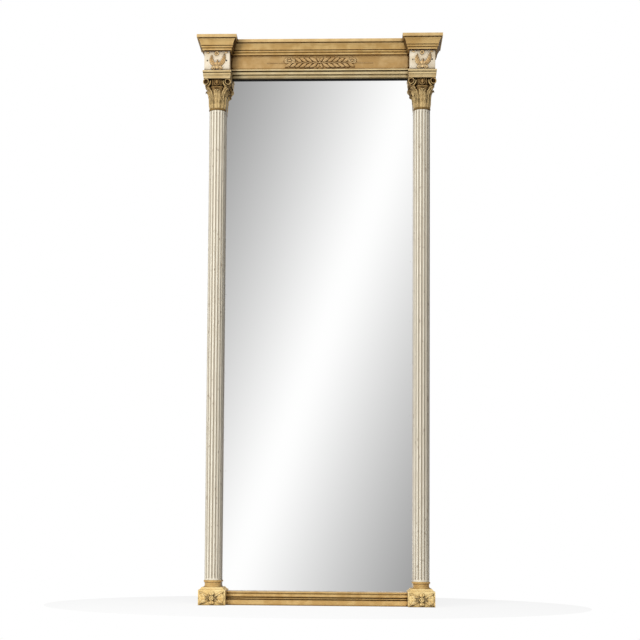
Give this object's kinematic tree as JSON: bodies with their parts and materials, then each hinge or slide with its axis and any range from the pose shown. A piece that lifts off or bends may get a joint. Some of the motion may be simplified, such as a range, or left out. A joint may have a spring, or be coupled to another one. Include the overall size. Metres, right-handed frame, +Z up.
{
  "type": "wall mirror",
  "caption": "Tall wall mirror in a gilt and cream wooden frame with fluted columns, carved capitals, flared cornice caps and a leaf spray on the frieze; hangs from ring hangers.",
  "frame": {"origin": "hanging point: midway between the inner tops of the raised hanger rings, at the plane of the wall", "axes": "+Z up along the columns, +Y into the wall so the glass faces -Y, +X to the right of a person who looks into the glass"},
  "size_m": [0.6582, 0.1445, 1.524],
  "materials": {
    "gilt_wood": "aged gilding on carved wood, satin, dark in the hollows and rubbed pale on the edges",
    "cream_paint": "worn cream paint on wood, satin, with small nicks",
    "white_paint": "aged off-white paint on wood, matte, a little dirty",
    "black_slip": "ebonised wood, satin",
    "mirror_glass": "silvered glass",
    "raw_wood": "bare softwood, matte",
    "dowel_wood": "bare beech, matte",
    "panel_board": "brown hardboard, matte",
    "plated_steel": "zinc plated steel, satin",
    "dark_iron": "dark iron, matte",
    "felt": "dense brown felt"
  },
  "bodies": {
    "frame": {"architrave_moulding": "gilt_wood", "back_panel": "panel_board", "back_panel_screws": "plated_steel", "bottom_moulding": "gilt_wood", "bottom_rail": "raw_wood", "bottom_sight_slip": "black_slip", "column_dowels": "dowel_wood", "column_screws": "plated_steel", "corner_dowels": "dowel_wood", "cornice_moulding": "gilt_wood", "die_screws": "plated_steel", "frieze_board": "gilt_wood", "frieze_spray": "gilt_wood", "glazing_blocks": "raw_wood", "hanger_screws": "plated_steel", "left_abacus": "gilt_wood", "left_capital_bell": "gilt_wood", "left_capital_echinus": "gilt_wood", "left_capital_leaves": "gilt_wood", "left_capital_volutes": "gilt_wood", "left_column_base": "gilt_wood", "left_column_shaft": "cream_paint", "left_cornice_cap": "gilt_wood", "left_die_block": "white_paint", "left_die_palmette": "gilt_wood", "left_hanger_plate": "plated_steel", "left_necking_ring": "gilt_wood", "left_plinth_block": "gilt_wood", "left_plinth_rosette": "gilt_wood", "left_sight_slip": "black_slip", "left_stile": "cream_paint", "mirror_plate": "mirror_glass", "palmette_pins": "dark_iron", "right_abacus": "gilt_wood", "right_capital_bell": "gilt_wood", "right_capital_echinus": "gilt_wood", "right_capital_leaves": "gilt_wood", "right_capital_volutes": "gilt_wood", "right_column_base": "gilt_wood", "right_column_shaft": "cream_paint", "right_cornice_cap": "gilt_wood", "right_die_block": "white_paint", "right_die_palmette": "gilt_wood", "right_hanger_plate": "plated_steel", "right_necking_ring": "gilt_wood", "right_plinth_block": "gilt_wood", "right_plinth_rosette": "gilt_wood", "right_sight_slip": "black_slip", "right_stile": "cream_paint", "top_rail": "cream_paint", "top_sight_slip": "black_slip", "wall_pads": "felt"},
    "left_ring": {"left_hanger_ring": "plated_steel"},
    "right_ring": {"right_hanger_ring": "plated_steel"}
  },
  "joints": [
    {"name": "left_ring_hinge", "type": "hinge", "parent": "frame", "child": "left_ring", "pos_m": [-0.284, -0.00525, -0.01648], "axis": [-1, 0, 0], "range_deg": [0, 178]},
    {"name": "right_ring_hinge", "type": "hinge", "parent": "frame", "child": "right_ring", "pos_m": [0.284, -0.00525, -0.01648], "axis": [-1, 0, 0], "range_deg": [0, 178]}
  ]
}
